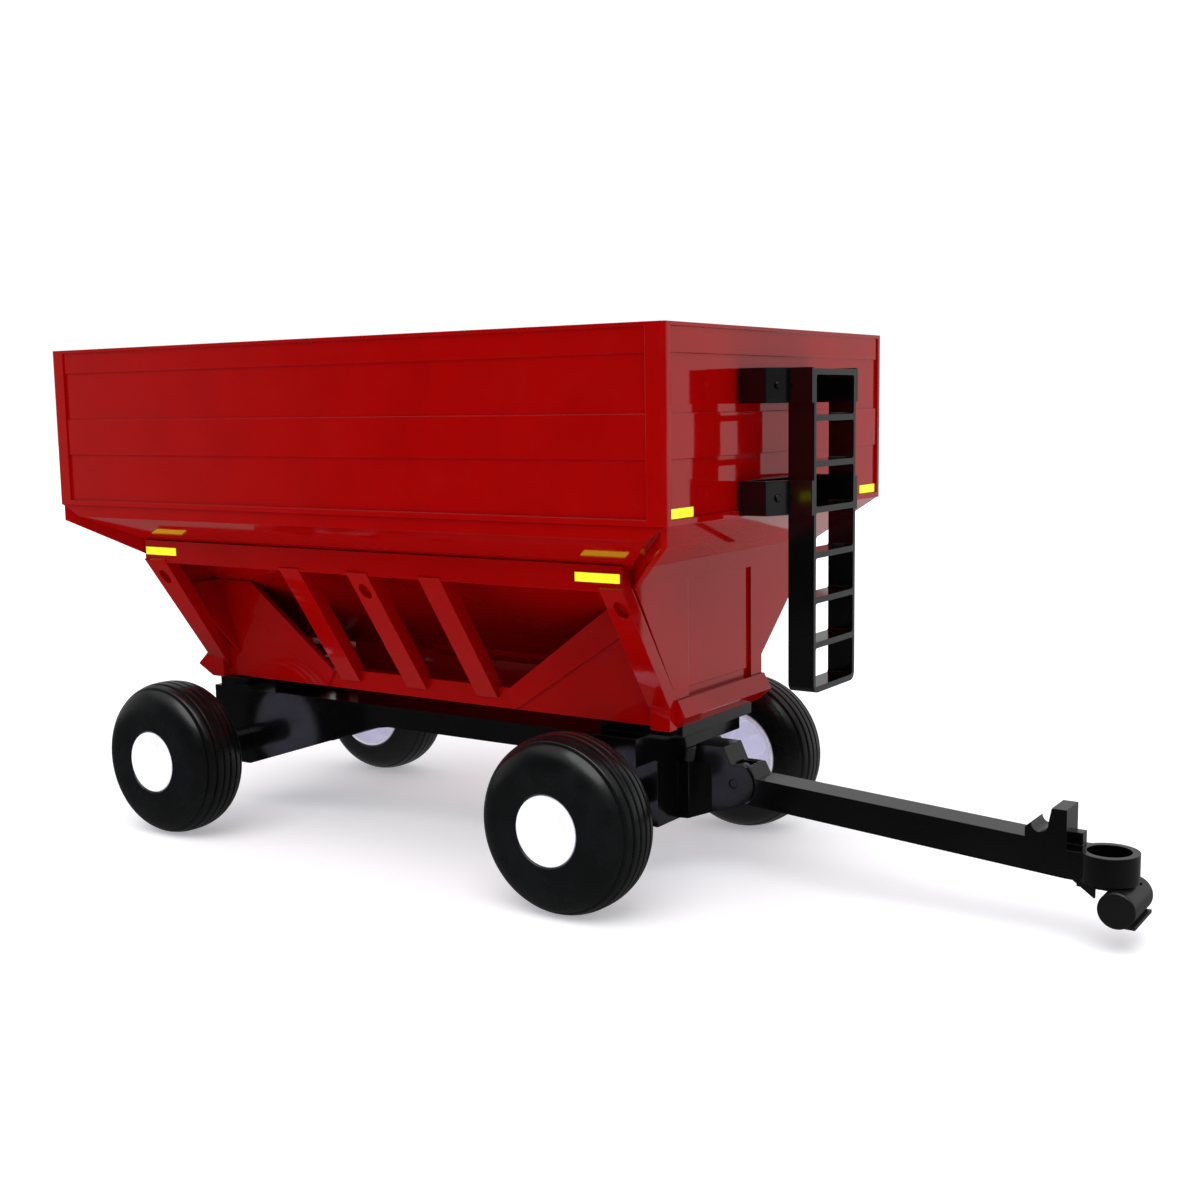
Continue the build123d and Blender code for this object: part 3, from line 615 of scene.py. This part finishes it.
# ------------------------------------------------------------------ studio
@dataclass
class Studio:
    """White floor, soft lamps, surroundings and the camera."""

    eye_mm: tuple[float, float, float] = (304.55, -446.99, 162.68)
    azimuth: float = 33.910
    elevation: float = 7.372
    roll: float = -0.877
    lens: float = 45.47
    sun_strength: float = 1.3
    sun_spread: float = 50.0
    sun_azimuth: float = 20.0
    sun_elevation: float = 62.0
    sky_strength: float = 0.75
    table_edge: float = -0.62
    table_glow: float = 0.36
    table_dark: float = 0.05
    table_pale: float = 0.5

    def floor(self) -> None:
        """Lay a wide pale table at ground level; its near edge is behind the camera, and dark beyond."""
        x, y = np.meshgrid(np.linspace(-6, 6, 13), np.linspace(self.table_edge, 8, 13), indexing="ij")
        piece = grid_mesh("floor", np.stack([x, y, 0 * x - 0.00005], -1), False, False)
        paper = bpy.data.materials.new("white_paper_sweep")
        paper.use_nodes = True
        tree = paper.node_tree
        skin = tree.nodes["Principled BSDF"]
        place = node(tree, "ShaderNodeTexCoord").outputs["Object"]
        fibre = node(tree, "ShaderNodeTexNoise", values={"Scale": per_mm(6.0), "Detail": 4.0}, links={"Vector": place})
        rough = MouldedPlastic.stretched(tree, fibre.outputs["Fac"], 0.3, 0.7, 0.7, 0.9)
        tree.links.new(rough, skin.inputs["Roughness"])
        skin.inputs["Base Color"].default_value = linear("#F6F6F8")
        skin.inputs["Specular IOR Level"].default_value = 0.1
        # The table is lit from below as well, which thins the shadows.
        skin.inputs["Emission Color"].default_value = linear("#F6F5FA")
        skin.inputs["Emission Strength"].default_value = self.table_glow
        # In the gloss the table is dark on the lens's side and paler toward the lit sweep behind.
        depth = node(tree, "ShaderNodeSeparateXYZ", links={"Vector": place}).outputs["Y"]
        seen = MouldedPlastic.stretched(tree, depth, -0.1, 0.35, self.table_dark, self.table_pale)
        mirrored = node(tree, "ShaderNodeEmission", links={"Strength": seen})
        ray = node(tree, "ShaderNodeLightPath").outputs["Is Glossy Ray"]
        split = node(tree, "ShaderNodeMixShader", links={0: ray, 1: skin.outputs["BSDF"], 2: mirrored.outputs[0]})
        tree.links.new(split.outputs[0], tree.nodes["Material Output"].inputs["Surface"])
        piece.data.materials.append(paper)

    def surroundings(self) -> None:
        """White to the lens; to the gloss, a white sweep behind, a lit ceiling and a dark room in front."""
        world = bpy.data.worlds.new("studio")
        bpy.context.scene.world = world
        world.use_nodes = True
        tree = world.node_tree
        tree.nodes.clear()
        way = node(tree, "ShaderNodeTexCoord").outputs["Generated"]
        parts = node(tree, "ShaderNodeSeparateXYZ", links={"Vector": way})

        def span(socket: bpy.types.NodeSocket, low: float, high: float, most: float) -> bpy.types.NodeSocket:
            """A smooth rise of one direction's brightness."""
            values = {"From Min": low, "From Max": high, "To Min": 0.0, "To Max": most}
            made = node(tree, "ShaderNodeMapRange", {"interpolation_type": "SMOOTHSTEP"}, values, {"Value": socket})
            return made.outputs["Result"]

        behind = span(parts.outputs["Y"], -0.25, 0.85, 0.6)
        above = span(parts.outputs["Z"], 0.38, 0.75, 0.8)
        left = span(parts.outputs["X"], -0.64, -1.0, 0.4)
        first = node(tree, "ShaderNodeMath", {"operation": "MAXIMUM"}, links={0: behind, 1: above}).outputs[0]
        most = node(tree, "ShaderNodeMath", {"operation": "MAXIMUM"}, links={0: first, 1: left}).outputs[0]
        room = node(tree, "ShaderNodeMath", {"operation": "ADD"}, {1: 0.012}, {0: most}).outputs[0]
        lit = node(tree, "ShaderNodeBackground", links={"Strength": room})
        even = node(tree, "ShaderNodeBackground", values={"Color": (1, 1, 1, 1), "Strength": self.sky_strength})
        plain = node(tree, "ShaderNodeBackground", values={"Color": (1, 1, 1, 1), "Strength": 1.05})
        ray = node(tree, "ShaderNodeLightPath")
        soft = node(
            tree, "ShaderNodeMixShader", links={0: ray.outputs["Is Diffuse Ray"], 1: lit.outputs[0], 2: even.outputs[0]}
        )
        both = node(tree, "ShaderNodeMixShader", links={0: ray.outputs["Is Camera Ray"], 1: soft.outputs[0], 2: plain.outputs[0]})
        node(tree, "ShaderNodeOutputWorld", links={"Surface": both.outputs[0]})

    def sun(self) -> None:
        """Hang one wide, soft sun over the camera's side."""
        data = bpy.data.lights.new("soft_sun", "SUN")
        data.energy = self.sun_strength
        data.angle = math.radians(self.sun_spread)
        made = bpy.data.objects.new("soft_sun", data)
        bpy.context.collection.objects.link(made)
        az, el = math.radians(self.sun_azimuth), math.radians(self.sun_elevation)
        back = np.array([math.sin(az) * math.cos(el), -math.cos(az) * math.cos(el), math.sin(el)])
        made.matrix_world = self.facing(np.array((0.0, 0.0, 1.0)), back, 0.0)

    @staticmethod
    def facing(place: np.ndarray, back: np.ndarray, roll_deg: float) -> Matrix:
        """Matrix of something that looks along -back.

        Args:
            place: its position.
            back: the direction behind it.
            roll_deg: turn about its own axis.

        Returns:
            The world matrix.
        """
        back = back / np.linalg.norm(back)
        right = np.cross((0.0, 0.0, 1.0), back)
        right = right / np.linalg.norm(right)
        up = np.cross(back, right)
        turn = math.radians(roll_deg)
        turned_right = right * math.cos(turn) + up * math.sin(turn)
        turned_up = -right * math.sin(turn) + up * math.cos(turn)
        rows = np.eye(4)
        rows[:3, 0], rows[:3, 1], rows[:3, 2], rows[:3, 3] = turned_right, turned_up, back, place
        return Matrix(rows.tolist())

    def camera(self) -> None:
        """Set the camera at the viewing angle."""
        az, el = math.radians(self.azimuth), math.radians(self.elevation)
        back = np.array([math.sin(az) * math.cos(el), -math.cos(az) * math.cos(el), math.sin(el)])
        data = bpy.data.cameras.new("camera")
        data.lens = self.lens
        data.sensor_width = 36.0
        data.clip_start = 0.01
        made = bpy.data.objects.new("camera", data)
        bpy.context.collection.objects.link(made)
        made.matrix_world = self.facing(np.array(self.eye_mm) * MM, back, self.roll)
        bpy.context.scene.camera = made

    def build(self) -> None:
        """Put the whole studio up."""
        self.floor()
        self.surroundings()
        self.sun()
        self.camera()
        bpy.context.scene.view_settings.view_transform = "Standard"


# ------------------------------------------------------------------ the wagon
@dataclass
class Wagon:
    """The whole toy: dresses the CAD nodes and builds the turned pieces."""

    finishes: Finishes = field(default_factory=Finishes)
    red_nodes: tuple[str, ...] = (
        "bin_walls",
        "hopper",
        "side_frame_right",
        "side_rails_left",
        "front_cross_beam",
        "rear_cross_beam",
        "discharge_chute",
        "door_guides",
        "discharge_door",
    )
    black_nodes: tuple[str, ...] = (
        "ladder",
        "ladder_bracket_upper",
        "ladder_bracket_lower",
        "ladder_rivets",
        "chassis_frame",
        "rear_bolster",
        "rear_axle_housing",
        "front_bolster",
        "front_axle_carrier",
        "tongue",
        "hitch_eye",
        "tongue_pin",
    )
    steel_nodes: tuple[str, ...] = ("rear_axle", "front_axle", "king_pin", "chassis_screws")
    film_nodes: tuple[str, ...] = ("side_reflectors", "front_reflectors", "rear_reflectors")

    def dress(self) -> None:
        """Give every CAD node its finish."""
        self.finishes.dress(self.red_nodes, self.finishes.red)
        self.finishes.dress(self.black_nodes, self.finishes.black)
        self.finishes.dress(self.steel_nodes, self.finishes.steel)
        self.finishes.dress(self.film_nodes, self.finishes.film)
        self.finishes.dress(("hitch_adapter",), self.finishes.adapter)
        LOG.info("dressed %d CAD nodes", len(self.red_nodes) + len(self.black_nodes))

    def build(self) -> None:
        """Dress the nodes and add the wheels."""
        self.dress()
        for end in ("front", "rear"):
            for hand, side in (("left", 1), ("right", -1)):
                for piece in Wheel(end, hand, side).build(self.finishes):
                    LOG.info("built %s", piece.name)


def main() -> None:
    """Build the wagon and its studio."""
    logging.basicConfig(level=logging.INFO)
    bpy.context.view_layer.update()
    Wagon().build()
    Studio().build()


if __name__ == "__main__":
    main()
